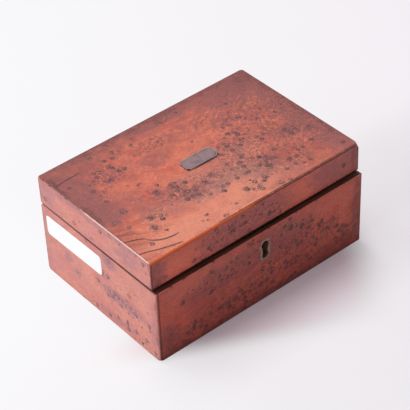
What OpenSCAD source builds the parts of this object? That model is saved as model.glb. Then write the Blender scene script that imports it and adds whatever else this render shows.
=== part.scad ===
// Small hinged box in burr veneer over a dovetailed carcase, with a box lock
// let into the front, two butt hinges at the back and a blank name plate in the lid.
// X runs to the right, Y from front to back, Z up. The origin is the centre of
// the underside. The lid rests slightly ajar, held up by its hinges.

/* [Box] */
// Outside width of the box, left to right
box_w = 200; // [160:1:300]
// Outside depth of the base, front to back
box_d = 137; // [110:1:200]
// Height of the base
base_h = 66; // [56:1:110]
// Height of the lid
lid_h = 24.5; // [20:0.5:50]
// How far the front of the lid stands back from the front of the base
lid_setback = 4; // [0:0.5:4]
// Gap between the two rims at the hinges
rim_gap = 1; // [0.6:0.1:1.6]
// Angle at which the lid comes to rest on its hinges
lid_ajar = 0.5; // [0:0.1:1]
// Angle that the lid opens from its rest
lid_open = 100; // [90:1:110]

/* [Wood] */
// Thickness of the carcase boards
board_t = 8; // [8:0.5:12]
// Thickness of the veneer
veneer_t = 1; // [0.8:0.1:1.5]
// Thickness of the bottom board
bottom_t = 6; // [4:0.5:10]
// Thickness of the top board of the lid
panel_t = 6; // [4:0.5:10]
// Thickness of the facing strips on the rims
rim_t = 1; // [0.8:0.1:1.4]
// Thickness of the lining paper
lining_t = 0.4; // [0.2:0.1:0.8]
// Number of dovetails at each corner of the base
base_tails = 3; // [2:1:4]
// Narrow end of the pins between the dovetails
pin_w = 4; // [3:0.5:6]
// Slope of the dovetails, as a run in a rise of one
tail_slope = 0.16; // [0.1:0.01:0.2]

/* [Wear] */
// Rounding of the outer edges
edge_r = 0.7; // [0.3:0.1:0.8]
// Worn lower front left corner of the base
base_wear_front_left = 3.6; // [1:0.1:5]
// Worn lower front right corner of the base
base_wear_front_right = 2; // [1:0.1:5]
// Worn lower back left corner of the base
base_wear_back_left = 3.2; // [1:0.1:5]
// Worn lower back right corner of the base
base_wear_back_right = 2.4; // [1:0.1:5]
// Worn upper front left corner of the lid
lid_wear_front_left = 1.6; // [1:0.1:6]
// Worn upper front right corner of the lid
lid_wear_front_right = 5.4; // [1:0.1:6]
// Worn upper back left corner of the lid
lid_wear_back_left = 2.2; // [1:0.1:6]
// Worn upper back right corner of the lid
lid_wear_back_right = 3; // [1:0.1:6]

/* [Bottom nails] */
// Diameter of a nail
brad_d = 1.2; // [1:0.1:2]
// Length of a nail
brad_l = 18; // [12:1:24]
// Diameter of a nail's head
brad_head_d = 2.6; // [2.2:0.1:4]
// Thickness of a nail's head
brad_head_t = 0.6; // [0.4:0.1:1]
// Distance of the outer nails from the corners of the carcase
brad_inset = 24; // [14:1:40]

/* [Hinges] */
// Length of a hinge
hinge_l = 26; // [20:1:38]
// Distance of a hinge's middle from the side of the box
hinge_from_side = 40; // [28:1:60]
// Distance of the hinge pins from the back of the box
hinge_inset = 2; // [1.8:0.1:2.4]
// Diameter of the hinge barrels
barrel_d = 4.4; // [4:0.1:5]
// Diameter of the hinge pins
hinge_pin_d = 1.8; // [1.2:0.1:2.2]
// Thickness of a leaf
leaf_t = 1.2; // [1:0.1:1.5]
// Width of a leaf, from the pin
leaf_w = 6; // [5.8:0.1:6.6]
// Distance of a leaf's outer screws from its middle
leaf_screw_step = 8.4; // [6:0.1:8.6]
// Diameter of the hinge screw heads
hinge_head_d = 2.4; // [2:0.1:2.8]
// Length of the hinge screws
hinge_screw_l = 8; // [5:0.5:10]

/* [Lock] */
// Distance of the keyhole to the right of the middle
lock_x = 1.8; // [-8:0.2:8]
// Depth of the key pin below the rim
key_drop = 13; // [12.6:0.2:15]
// Width of the lock's plate
plate_w = 44; // [43:1:56]
// Height of the lock's plate
plate_h = 28; // [26:1:34]
// Thickness of the lock's plate
plate_t = 1; // [0.8:0.1:1.2]
// Thickness of the selvedge
selvedge_t = 1.5; // [1.2:0.1:1.8]
// Width of the selvedge, from the inner face of the front
selvedge_w = 4.8; // [4.6:0.1:5.2]
// Width of the lock's case
case_w = 34; // [34:0.5:36]
// Height of the lock's case, from the rim
case_h = 25; // [24:0.5:25.5]
// Depth of the case in front of the plate
case_d = 4.5; // [4.3:0.1:5]
// Thickness of the case's metal
cap_t = 0.8; // [0.6:0.1:0.9]
// Diameter of the key pin
key_pin_d = 2.2; // [1.8:0.1:2.6]
// Thickness of the bolt
bolt_t = 1.6; // [1.2:0.1:1.8]
// Height of the bolt's body
bolt_h = 5; // [4.6:0.1:5.4]
// Travel of the bolt
bolt_travel = 4; // [3:0.1:4]
// Height of the bolt's fingers
finger_h = 1.4; // [1:0.1:1.6]
// Depth of the fingers' middle below the rim
finger_drop = 3; // [2.8:0.1:3.2]
// Width of a finger's stem
stem_w = 2.2; // [1.6:0.1:2.4]
// Width of a hook
hook_w = 6.5; // [6:0.1:6.6]
// Width of a hook's upright
hook_spine = 2.6; // [2:0.1:3]
// Thickness of a hook's lip
hook_lip = 1.1; // [0.9:0.1:1.3]
// Height of the opening in a hook
hook_mouth = 2; // [1.8:0.1:2.4]
// Length of the link plate
link_l = 40; // [38:1:50]
// Width of the link plate
link_w = 4; // [3.6:0.1:4]
// Thickness of the link plate
link_t = 1.2; // [1:0.1:1.6]
// Diameter of the lock's guide studs
stud_d = 1.8; // [1.4:0.1:2]
// Thickness of the leaf spring
spring_t = 0.35; // [0.3:0.05:0.5]
// Height of the leaf spring
spring_h = 2; // [1.6:0.1:2.2]
// Diameter of the lock screw heads
lock_head_d = 3; // [2.6:0.1:3.2]
// Length of the lock screws
lock_screw_l = 6; // [5:0.5:6.5]

/* [Escutcheon] */
// Diameter of the escutcheon's head
esc_head_d = 10.8; // [9:0.1:12]
// Diameter of the escutcheon's foot
esc_foot_d = 10; // [8:0.1:11]
// Width of the escutcheon's waist
esc_waist_w = 9; // [7.5:0.1:9.5]
// Distance from the middle of the head to the middle of the foot
esc_foot_drop = 9.4; // [8:0.1:10]
// Width of the escutcheon's metal
esc_ring = 1.85; // [1.4:0.05:2]
// Depth of the escutcheon
esc_t = 1.6; // [1.4:0.1:2]
// How far the escutcheon stands proud
esc_proud = 0.1; // [0:0.05:0.3]

/* [Name plate and label] */
// Width of the name plate
name_w = 30; // [20:1:50]
// Depth of the name plate
name_d = 12.4; // [9:0.2:20]
// Radius of the notches in its corners
name_notch_r = 2.1; // [1:0.1:3]
// How far the name plate stands proud
name_proud = 0.6; // [0.2:0.1:1]
// Distance of its middle to the right of the lid's middle
name_x = 0.4; // [-5:0.1:5]
// Distance of its middle behind the lid's middle
name_y = 0.9; // [-5:0.1:5]
// Length of the paper label
label_l = 67; // [30:1:80]
// Height of the paper label
label_h = 18; // [10:1:24]
// Thickness of the paper label
label_t = 0.2; // [0.1:0.05:0.4]
// Radius of the label's corners
label_r = 3; // [1:0.5:4]
// Distance of the label from the back of the box
label_from_back = 5.5; // [2:0.5:20]
// Distance of the label's upper edge below the rim
label_from_rim = 7.5; // [4:0.5:15]
// Slope of the label, in degrees
label_tilt = 1; // [0:0.5:3]

/* [Hidden] */
$fn = 64;

// Outer faces, carcase faces and inner faces of the base
out_x = box_w / 2;
out_y = box_d / 2;
car_x = out_x - veneer_t;
car_y = out_y - veneer_t;
in_x = car_x - board_t;
in_y = car_y - board_t;
base_board_top = base_h - rim_t;
tail_root = 2;

// The same faces of the lid, drawn closed and level
lid_front = -out_y + lid_setback;
lid_car_front = lid_front + veneer_t;
lid_in_front = lid_car_front + board_t;
lid_z0 = base_h + rim_gap;
lid_z1 = lid_z0 + lid_h;
lid_board_z0 = lid_z0 + rim_t;
lid_board_z1 = lid_z1 - veneer_t - panel_t;
lid_tails = 1;

// Hinge axis, and the sloped back arrises that stop the lid
axis_y = out_y - hinge_inset;
axis_z = base_h + rim_gap / 2;
arris_angle = (180 - lid_ajar - lid_open) / 2;
arris_clear = 0.05;
hinge_x = out_x - hinge_from_side;
barrel_clear = 0.25;
knuckle_gap = 0.15;
knuckle_root = 0.5;
knuckles = 5;
leaf_fit = 0.05;
hinge_run = 0.05;
barrel_edge = barrel_d / 2 + barrel_clear;
leaf_screw_y = -(barrel_edge + leaf_w) / 2;
hinge_shank_d = 1.4;

// Lock
play = 0.3;
bolt_side_play = 0.2;
inner_face = -in_y;
plate_face = inner_face - plate_t;
bolt_y1 = plate_face - bolt_side_play;
bolt_y0 = bolt_y1 - bolt_t;
hook_y = (bolt_y0 + bolt_y1) / 2;
cap_y0 = plate_face - case_d;
case_top = base_h - selvedge_t;
key_z = base_h - key_drop;
finger_z = base_h - finger_drop;
hook_places = [-10, 5.5];
lid_rise = (axis_y - hook_y) * sin(lid_ajar);
mouth_z = finger_z - lid_rise;
hook_bottom = mouth_z - hook_mouth / 2 - hook_lip;
bolt_top = finger_z - hook_mouth / 2 - hook_lip - play;
stem_x = hook_w / 2 + bolt_travel + play;
bolt_end = 1;
bolt_left = hook_places[0] - bolt_end;
bolt_right = hook_places[1] + stem_x + stem_w;
stud_places = [-8, 8];
stud_z = bolt_top - bolt_h / 2;
stud_play = 0.1;
talon_w = 5.5;
talon_h = 2;
talon_x = 2;
case_screw_x = (case_w + plate_w) / 4;
plate_screw_drop = 17;
lock_shank_d = 1.6;
spring_reach = 15;
spring_foot = 5;
spring_x = -6;
spring_gap = 0.1;
cap_hole_r = 3;
cap_slot_w = 2.6;
cap_slot_drop = 9.4;

// Name plate fit, screw heads
name_fit = 0.15;
head_ratio = 0.45;
slot_w = 0.62;
slot_depth = 0.3;

// Plain shapes

// Box between two opposite corners
module block(a, b) {
  translate([min(a[0], b[0]), min(a[1], b[1]), min(a[2], b[2])])
    cube([abs(b[0] - a[0]), abs(b[1] - a[1]), abs(b[2] - a[2])]);
}

// Rectangle between two corners, with round corners
module round_rect(a, b, r) {
  translate([a[0] + r, a[1]])
    square([b[0] - a[0] - 2 * r, b[1] - a[1]]);
  translate([a[0], a[1] + r])
    square([b[0] - a[0], b[1] - a[1] - 2 * r]);
  for (x = [a[0] + r, b[0] - r])
    for (y = [a[1] + r, b[1] - r])
      translate([x, y])
        circle(r);
}

// Outline in X and Z, pushed through from front to back
module along_y(y0, y1) {
  translate([0, y1, 0])
    rotate([90, 0, 0])
      linear_extrude(y1 - y0)
        children();
}

// Outline in Y and Z, pushed through from left to right
module along_x(x0, x1) {
  translate([x0, 0, 0])
    rotate([90, 0, 90])
      linear_extrude(x1 - x0)
        children();
}

// What wear takes off a corner: the tip outside a large ball
module worn_tip(corner, way, size) {
  middle = 1.6 * size;
  difference() {
    block(corner - way, corner + size * way);
    translate(corner + middle * way)
      sphere(sqrt(pow(middle - size, 2) + 2 * pow(middle, 2)));
  }
}

// Countersunk wood screw, its head flush at Z = 0, pointing down
module screw_body(l, head_d, shank_d) {
  head_h = (head_d - shank_d) * head_ratio;
  point = shank_d;
  translate([0, 0, -head_h])
    cylinder(h = head_h, d1 = shank_d, d2 = head_d);
  translate([0, 0, point - l])
    cylinder(h = l - point - head_h, d = shank_d);
  translate([0, 0, -l])
    cylinder(h = point, d1 = shank_d / 4, d2 = shank_d);
}

module wood_screw(l, head_d, shank_d) {
  difference() {
    screw_body(l, head_d, shank_d);
    translate([-head_d, -slot_w / 2, -slot_depth])
      cube([2 * head_d, slot_w, 1]);
  }
}

// Keyhole outline around the key pin
module keyhole_outline(head_r, waist, foot_r, drop) {
  circle(head_r);
  translate([0, -drop])
    circle(foot_r);
  translate([-waist / 2, -drop])
    square([waist, drop]);
}

// Whole outer forms

module base_form() {
  difference() {
    intersection() {
      linear_extrude(base_h)
        round_rect([-out_x, -out_y], [out_x, out_y], edge_r);
      along_y(-out_y, out_y)
        round_rect([-out_x, 0], [out_x, base_h + 2 * edge_r], edge_r);
      along_x(-out_x, out_x)
        round_rect([-out_y, 0], [out_y, base_h + 2 * edge_r], edge_r);
    }
    worn_tip([-out_x, -out_y, 0], [1, 1, 1], base_wear_front_left);
    worn_tip([out_x, -out_y, 0], [-1, 1, 1], base_wear_front_right);
    worn_tip([-out_x, out_y, 0], [1, -1, 1], base_wear_back_left);
    worn_tip([out_x, out_y, 0], [-1, -1, 1], base_wear_back_right);
    back_arris(1);
  }
}

module lid_form() {
  low = lid_z0 - 2 * edge_r;
  difference() {
    intersection() {
      translate([0, 0, lid_z0])
        linear_extrude(lid_h)
          round_rect([-out_x, lid_front], [out_x, out_y], edge_r);
      along_y(lid_front, out_y)
        round_rect([-out_x, low], [out_x, lid_z1], edge_r);
      along_x(-out_x, out_x)
        round_rect([lid_front, low], [out_y, lid_z1], edge_r);
    }
    worn_tip([-out_x, lid_front, lid_z1], [1, 1, -1], lid_wear_front_left);
    worn_tip([out_x, lid_front, lid_z1], [-1, 1, -1], lid_wear_front_right);
    worn_tip([-out_x, out_y, lid_z1], [1, -1, -1], lid_wear_back_left);
    worn_tip([out_x, out_y, lid_z1], [-1, -1, -1], lid_wear_back_right);
    back_arris(-1);
  }
}

// Slope taken off a back arris; the two slopes meet when the lid is fully open
module back_arris(side) {
  reach = 4 * hinge_inset;
  translate([0, axis_y, axis_z])
    rotate([side * arris_angle, 0, 0])
      block([-box_w, -arris_clear, -reach], [box_w, reach, reach]);
}

// Swings a piece of the lid from closed and level to its rest
module lid_place() {
  translate([0, axis_y, axis_z])
    rotate([-lid_ajar, 0, 0])
      translate([0, -axis_y, -axis_z])
        children();
}

// Joinery

// Tails at one end of a side board, as an outline in Y and Z
module tail_outline(shoulder, way, z0, z1, count) {
  pitch = (z1 - z0) / count;
  wide = way * (pitch - pin_w) / 2;
  narrow = wide - way * tail_slope * board_t;
  for (i = [0:count - 1]) {
    mid = z0 + (i + 0.5) * pitch;
    polygon([
      [shoulder - way * tail_root, mid - narrow],
      [shoulder, mid - narrow],
      [shoulder + way * board_t, mid - wide],
      [shoulder + way * board_t, mid + wide],
      [shoulder, mid + narrow],
      [shoulder - way * tail_root, mid + narrow]
    ]);
  }
}

// Left or right board, with tails at both ends
module tail_board(side, front, back, z0, z1, count) {
  along_x(side > 0 ? in_x : -car_x, side > 0 ? car_x : -in_x) {
    translate([front + board_t, z0])
      square([back - front - 2 * board_t, z1 - z0]);
    tail_outline(front + board_t, -1, z0, z1, count);
    tail_outline(back - board_t, 1, z0, z1, count);
  }
}

// Front or back board, with sockets for the tails at both ends
module pin_board(front, shoulder, way, z0, z1, count) {
  difference() {
    block([-car_x, front, z0], [car_x, front + board_t, z1]);
    along_x(-car_x, -in_x)
      tail_outline(shoulder, way, z0, z1, count);
    along_x(in_x, car_x)
      tail_outline(shoulder, way, z0, z1, count);
  }
}

// Mitred facing strip along a front or back rim
module long_rim(y_out, y_in, z) {
  translate([0, 0, z])
    linear_extrude(rim_t)
      polygon([[-car_x, y_out], [-in_x, y_in], [in_x, y_in], [car_x, y_out]]);
}

// Mitred facing strip along a side rim
module side_rim(side, front, back, z) {
  translate([0, 0, z])
    linear_extrude(rim_t)
      polygon([
        [side * car_x, front],
        [side * in_x, front + board_t],
        [side * in_x, back - board_t],
        [side * car_x, back]
      ]);
}

// Recess for a hinge leaf and the barrel; side 1 is the base, -1 the lid
module hinge_mortises(side) {
  half = hinge_l / 2 + leaf_fit;
  floor_z = -side * (rim_gap / 2 + leaf_t);
  for (x = [-hinge_x, hinge_x])
    translate([x, axis_y, axis_z]) {
      block([-half, -leaf_w - leaf_fit, floor_z], [half, 2 * hinge_inset, 0]);
      block([-half, -barrel_edge, -side * barrel_edge], [half, 2 * hinge_inset, 0]);
    }
}

module hinge_screw_spots() {
  for (x = [-hinge_x, hinge_x])
    for (i = [-1, 0, 1])
      translate([x + i * leaf_screw_step, axis_y + leaf_screw_y, axis_z - rim_gap / 2])
        children();
}

// The same spots on the lid, with the children turned upside down
module lid_screw_spots() {
  for (x = [-hinge_x, hinge_x])
    for (i = [-1, 0, 1])
      translate([x + i * leaf_screw_step, axis_y + leaf_screw_y, axis_z + rim_gap / 2])
        rotate([180, 0, 0])
          children();
}

module brad_spots() {
  far_x = car_x - brad_inset;
  far_y = car_y - brad_inset;
  for (y = [-car_y + board_t / 2, car_y - board_t / 2])
    for (x = [-far_x, 0, far_x])
      translate([x, y, 0])
        children();
  for (x = [-car_x + board_t / 2, car_x - board_t / 2])
    for (y = [-far_y, far_y])
      translate([x, y, 0])
        children();
}

module brad() {
  cylinder(h = brad_head_t, d = brad_head_d);
  cylinder(h = brad_l, d = brad_d);
}

// Lock positions

module at_lock() {
  translate([lock_x, 0, 0])
    children();
}

// Room for the whole lock in the front board, the rim strip and the lining
module lock_mortise() {
  at_lock() {
    block([-case_w / 2, cap_y0, base_h - case_h], [case_w / 2, inner_face, base_h]);
    block([-plate_w / 2, plate_face, base_h - plate_h], [plate_w / 2, inner_face + 1, base_h]);
    selvedge_block(base_h + 1);
  }
}

module selvedge_block(top) {
  block([-plate_w / 2, inner_face - selvedge_w, case_top], [plate_w / 2, inner_face, top]);
}

module rim_screw_spots() {
  for (x = [-case_screw_x, case_screw_x])
    translate([lock_x + x, hook_y, base_h])
      children();
}

module plate_screw_spots() {
  for (x = [-case_screw_x, case_screw_x])
    translate([lock_x + x, inner_face, base_h - plate_screw_drop])
      rotate([-90, 0, 0])
        children();
}

module lock_screw_holes() {
  rim_screw_spots()
    screw_body(lock_screw_l, lock_head_d, lock_shank_d);
  plate_screw_spots()
    screw_body(lock_screw_l, lock_head_d, lock_shank_d);
}

module link_screw_spots() {
  for (x = [-link_l / 2 + lock_head_d, link_l / 2 - lock_head_d])
    translate([lock_x + x, inner_face - link_w / 2, lid_z0])
      rotate([180, 0, 0])
        children();
}

module link_block() {
  at_lock()
    block([-link_l / 2, inner_face - link_w, lid_z0], [link_l / 2, inner_face, lid_z0 + link_t]);
}

// Escutcheon outlines, outer and inner
module escutcheon_outer() {
  translate([lock_x, key_z])
    keyhole_outline(esc_head_d / 2, esc_waist_w, esc_foot_d / 2, esc_foot_drop);
}

module escutcheon_inner() {
  translate([lock_x, key_z])
    keyhole_outline(
      esc_head_d / 2 - esc_ring,
      esc_waist_w - 2 * esc_ring,
      esc_foot_d / 2 - esc_ring,
      esc_foot_drop
    );
}

// Base

module base_front_board() {
  color("saddlebrown")
    difference() {
      pin_board(-car_y, -in_y, -1, bottom_t, base_board_top, base_tails);
      lock_mortise();
      lock_screw_holes();
      along_y(-car_y - 1, cap_y0 + 1)
        escutcheon_inner();
      along_y(-car_y - 1, -out_y - esc_proud + esc_t)
        escutcheon_outer();
      brad_spots()
        brad();
    }
}

module base_back_board() {
  color("saddlebrown")
    difference() {
      pin_board(in_y, in_y, 1, bottom_t, base_board_top, base_tails);
      hinge_mortises(1);
      hinge_screw_spots()
        screw_body(hinge_screw_l, hinge_head_d, hinge_shank_d);
      brad_spots()
        brad();
    }
}

module base_left_board() {
  color("sienna")
    difference() {
      tail_board(-1, -car_y, car_y, bottom_t, base_board_top, base_tails);
      brad_spots()
        brad();
    }
}

module base_right_board() {
  color("sienna")
    difference() {
      tail_board(1, -car_y, car_y, bottom_t, base_board_top, base_tails);
      brad_spots()
        brad();
    }
}

module base_bottom_board() {
  color("peru")
    difference() {
      intersection() {
        block([-car_x, -car_y, 0], [car_x, car_y, bottom_t]);
        base_form();
      }
      brad_spots()
        brad();
    }
}

module bottom_brads() {
  color("dimgray")
    brad_spots()
      brad();
}

module base_front_veneer() {
  color("indianred")
    difference() {
      intersection() {
        block([-out_x, -out_y, 0], [out_x, -car_y, base_h]);
        base_form();
      }
      along_y(-out_y - 1, -car_y + 1)
        escutcheon_outer();
    }
}

module base_back_veneer() {
  color("indianred")
    difference() {
      intersection() {
        block([-out_x, car_y, 0], [out_x, out_y, base_h]);
        base_form();
      }
      hinge_mortises(1);
    }
}

module base_left_veneer() {
  color("rosybrown")
    intersection() {
      block([-out_x, -car_y, 0], [-car_x, car_y, base_h]);
      base_form();
    }
}

module base_right_veneer() {
  color("rosybrown")
    intersection() {
      block([car_x, -car_y, 0], [out_x, car_y, base_h]);
      base_form();
    }
}

module base_front_rim() {
  color("#2e1c1a")
    difference() {
      long_rim(-car_y, -in_y, base_board_top);
      lock_mortise();
      lock_screw_holes();
    }
}

module base_back_rim() {
  color("#2e1c1a")
    difference() {
      long_rim(car_y, in_y, base_board_top);
      hinge_mortises(1);
      back_arris(1);
    }
}

module base_left_rim() {
  color("#2e1c1a")
    difference() {
      side_rim(-1, -car_y, car_y, base_board_top);
      back_arris(1);
    }
}

module base_right_rim() {
  color("#2e1c1a")
    difference() {
      side_rim(1, -car_y, car_y, base_board_top);
      back_arris(1);
    }
}

module base_wall_lining() {
  color("tan")
    difference() {
      block([-in_x, -in_y, bottom_t], [in_x, in_y, base_board_top]);
      block(
        [-in_x + lining_t, -in_y + lining_t, bottom_t - 1],
        [in_x - lining_t, in_y - lining_t, base_h]
      );
      lock_mortise();
    }
}

module base_floor_lining() {
  color("tan")
    block(
      [-in_x + lining_t, -in_y + lining_t, bottom_t],
      [in_x - lining_t, in_y - lining_t, bottom_t + lining_t]
    );
}

module escutcheon() {
  color("gray")
    along_y(-out_y - esc_proud, -out_y - esc_proud + esc_t)
      difference() {
        escutcheon_outer();
        escutcheon_inner();
      }
}

module paper_label() {
  mid_y = out_y - label_from_back - label_l / 2;
  mid_z = base_h - label_from_rim - label_h / 2;
  color("white")
    translate([0, mid_y, mid_z])
      rotate([-label_tilt, 0, 0])
        along_x(-out_x - label_t, -out_x)
          round_rect([-label_l / 2, -label_h / 2], [label_l / 2, label_h / 2], label_r);
}

// Lock

module lock_back_plate() {
  color("goldenrod")
    difference() {
      at_lock() {
        block([-plate_w / 2, plate_face, base_h - plate_h], [plate_w / 2, inner_face, case_top]);
        selvedge_block(base_h);
        for (x = stud_places)
          translate([x, plate_face, stud_z])
            rotate([90, 0, 0])
              cylinder(h = plate_face - bolt_y0, d = stud_d);
      }
      lock_screw_holes();
      key_pin_solid();
      hook_slots();
    }
}

module hook_slots() {
  at_lock()
    for (x = hook_places)
      block(
        [x - hook_w / 2 - play, bolt_y0 - play, case_top - 1],
        [x + hook_w / 2 + play, bolt_y1 + play, base_h + 1]
      );
}

module key_pin_solid() {
  translate([lock_x, inner_face, key_z])
    rotate([90, 0, 0])
      cylinder(h = inner_face - cap_y0 - cap_t / 2, d = key_pin_d);
}

module lock_key_pin() {
  color("silver")
    key_pin_solid();
}

module lock_cap() {
  half = case_w / 2;
  low = base_h - case_h;
  color("darkgoldenrod")
    difference() {
      at_lock()
        block([-half, cap_y0, low], [half, plate_face, case_top]);
      at_lock()
        block([cap_t - half, cap_y0 + cap_t, low + cap_t], [half - cap_t, inner_face, base_h]);
      along_y(cap_y0 - 1, cap_y0 + cap_t + 1)
        translate([lock_x, key_z])
          keyhole_outline(cap_hole_r, cap_slot_w, cap_slot_w / 2, cap_slot_drop);
    }
}

module lock_spring() {
  y0 = cap_y0 + cap_t;
  rise = bolt_y0 - spring_gap - spring_t - y0;
  r = (pow(spring_reach, 2) + pow(rise, 2)) / (2 * rise);
  color("steelblue")
    translate([lock_x + spring_x, y0, bolt_top - spring_h])
      linear_extrude(spring_h) {
        translate([-spring_foot, 0])
          square([spring_foot, spring_t]);
        intersection() {
          square([spring_reach, bolt_y0 - y0]);
          translate([0, r + spring_t])
            difference() {
              circle(r + spring_t, $fn = 256);
              circle(r, $fn = 256);
            }
        }
      }
}

module lock_screws() {
  color("darkkhaki") {
    rim_screw_spots()
      wood_screw(lock_screw_l, lock_head_d, lock_shank_d);
    plate_screw_spots()
      wood_screw(lock_screw_l, lock_head_d, lock_shank_d);
  }
}

// Bolt drawn back, its fingers pointing left at the mouths of the hooks
module lock_bolt() {
  slot_h = stud_d + 2 * stud_play;
  color("khaki")
    translate([lock_x, 0, 0])
      along_y(bolt_y0, bolt_y1)
        difference() {
          union() {
            translate([bolt_left, bolt_top - bolt_h])
              square([bolt_right - bolt_left, bolt_h]);
            for (x = hook_places) {
              translate([x + stem_x, bolt_top - 1])
                square([stem_w, finger_z + finger_h / 2 - bolt_top + 1]);
              translate([x + hook_w / 2 + play, finger_z - finger_h / 2])
                square([stem_x - hook_w / 2, finger_h]);
            }
          }
          for (x = stud_places)
            translate([x, stud_z]) {
              circle(d = slot_h);
              translate([bolt_travel, 0])
                circle(d = slot_h);
              translate([0, -slot_h / 2])
                square([bolt_travel, slot_h]);
            }
          translate([talon_x - talon_w / 2, bolt_top - bolt_h - 1])
            square([talon_w, talon_h + 1]);
        }
}

// Hinges

// Leaf with its knuckles; the wanted knuckles are those whose number leaves rest
module hinge_leaf(rest, bore_d) {
  step = hinge_l / knuckles;
  low = -rim_gap / 2 - leaf_t;
  high = -rim_gap / 2;
  difference() {
    union() {
      block([-hinge_l / 2, -leaf_w, low], [hinge_l / 2, -barrel_edge, high]);
      for (i = [0:knuckles - 1])
        if (i % 2 == rest) {
          left = -hinge_l / 2 + i * step + (i > 0 ? knuckle_gap / 2 : 0);
          right = -hinge_l / 2 + (i + 1) * step - (i < knuckles - 1 ? knuckle_gap / 2 : 0);
          block([left, -barrel_edge - knuckle_root, low], [right, 0, high]);
          translate([left, 0, 0])
            rotate([0, 90, 0])
              cylinder(h = right - left, d = barrel_d);
        }
    }
    translate([-hinge_l, 0, 0])
      rotate([0, 90, 0])
        cylinder(h = 2 * hinge_l, d = bore_d);
    for (i = [-1, 0, 1])
      translate([i * leaf_screw_step, leaf_screw_y, high])
        screw_body(hinge_screw_l, hinge_head_d, hinge_shank_d);
  }
}

module hinge_at(side) {
  translate([side * hinge_x, axis_y, axis_z])
    children();
}

module hinge_pin() {
  translate([-hinge_l / 2, 0, 0])
    rotate([0, 90, 0])
      cylinder(h = hinge_l, d = hinge_pin_d);
}

module left_hinge_base_leaf() {
  color("gold")
    hinge_at(-1)
      hinge_leaf(0, hinge_pin_d);
}

module right_hinge_base_leaf() {
  color("gold")
    hinge_at(1)
      hinge_leaf(0, hinge_pin_d);
}

module left_hinge_pin() {
  color("silver")
    hinge_at(-1)
      hinge_pin();
}

module right_hinge_pin() {
  color("silver")
    hinge_at(1)
      hinge_pin();
}

module base_hinge_screws() {
  color("darkkhaki")
    hinge_screw_spots()
      wood_screw(hinge_screw_l, hinge_head_d, hinge_shank_d);
}

// Lid

module lid_front_board() {
  color("saddlebrown")
    lid_place()
      difference() {
        pin_board(lid_car_front, lid_in_front, -1, lid_board_z0, lid_board_z1, lid_tails);
        link_block();
        link_screw_spots()
          screw_body(lock_screw_l, lock_head_d, lock_shank_d);
      }
}

module lid_back_board() {
  color("saddlebrown")
    lid_place()
      difference() {
        pin_board(in_y, in_y, 1, lid_board_z0, lid_board_z1, lid_tails);
        hinge_mortises(-1);
        lid_screw_spots()
          screw_body(hinge_screw_l, hinge_head_d, hinge_shank_d);
      }
}

module lid_left_board() {
  color("sienna")
    lid_place()
      tail_board(-1, lid_car_front, car_y, lid_board_z0, lid_board_z1, lid_tails);
}

module lid_right_board() {
  color("sienna")
    lid_place()
      tail_board(1, lid_car_front, car_y, lid_board_z0, lid_board_z1, lid_tails);
}

module lid_top_board() {
  color("peru")
    lid_place()
      intersection() {
        block([-car_x, lid_car_front, lid_board_z1], [car_x, car_y, lid_board_z1 + panel_t]);
        lid_form();
      }
}

module name_spot() {
  translate([name_x, (lid_front + out_y) / 2 + name_y, lid_z1])
    children();
}

// Plate outline with a round notch at each corner; a fit makes it larger all round
module name_outline(fit) {
  w = name_w / 2;
  d = name_d / 2;
  difference() {
    square([name_w + 2 * fit, name_d + 2 * fit], center = true);
    for (x = [-w, w])
      for (y = [-d, d])
        translate([x, y])
          circle(name_notch_r - fit);
  }
}

module lid_top_veneer() {
  color("coral")
    lid_place()
      difference() {
        intersection() {
          block([-out_x, lid_front, lid_z1 - veneer_t], [out_x, out_y, lid_z1]);
          lid_form();
        }
        name_spot()
          translate([0, 0, -veneer_t - 1])
            linear_extrude(veneer_t + 2)
              name_outline(name_fit);
      }
}

module lid_front_veneer() {
  color("indianred")
    lid_place()
      intersection() {
        block([-out_x, lid_front, lid_z0], [out_x, lid_car_front, lid_z1 - veneer_t]);
        lid_form();
      }
}

module lid_back_veneer() {
  color("indianred")
    lid_place()
      difference() {
        intersection() {
          block([-out_x, car_y, lid_z0], [out_x, out_y, lid_z1 - veneer_t]);
          lid_form();
        }
        hinge_mortises(-1);
      }
}

module lid_left_veneer() {
  color("rosybrown")
    lid_place()
      intersection() {
        block([-out_x, lid_car_front, lid_z0], [-car_x, car_y, lid_z1 - veneer_t]);
        lid_form();
      }
}

module lid_right_veneer() {
  color("rosybrown")
    lid_place()
      intersection() {
        block([car_x, lid_car_front, lid_z0], [out_x, car_y, lid_z1 - veneer_t]);
        lid_form();
      }
}

module lid_front_rim() {
  color("#2e1c1a")
    lid_place()
      difference() {
        long_rim(lid_car_front, lid_in_front, lid_z0);
        link_block();
      }
}

module lid_back_rim() {
  color("#2e1c1a")
    lid_place()
      difference() {
        long_rim(car_y, in_y, lid_z0);
        hinge_mortises(-1);
        back_arris(-1);
      }
}

module lid_left_rim() {
  color("#2e1c1a")
    lid_place()
      difference() {
        side_rim(-1, lid_car_front, car_y, lid_z0);
        back_arris(-1);
      }
}

module lid_right_rim() {
  color("#2e1c1a")
    lid_place()
      difference() {
        side_rim(1, lid_car_front, car_y, lid_z0);
        back_arris(-1);
      }
}

module lid_wall_lining() {
  color("tan")
    lid_place()
      difference() {
        block([-in_x, lid_in_front, lid_board_z0], [in_x, in_y, lid_board_z1]);
        block(
          [-in_x + lining_t, lid_in_front + lining_t, lid_z0 - 1],
          [in_x - lining_t, in_y - lining_t, lid_board_z1 + 1]
        );
      }
}

module lid_top_lining() {
  color("tan")
    lid_place()
      block(
        [-in_x + lining_t, lid_in_front + lining_t, lid_board_z1 - lining_t],
        [in_x - lining_t, in_y - lining_t, lid_board_z1]
      );
}

module name_plate() {
  color("dimgray")
    lid_place()
      name_spot()
        translate([0, 0, -veneer_t])
          linear_extrude(veneer_t + name_proud)
            name_outline(0);
}

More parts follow.
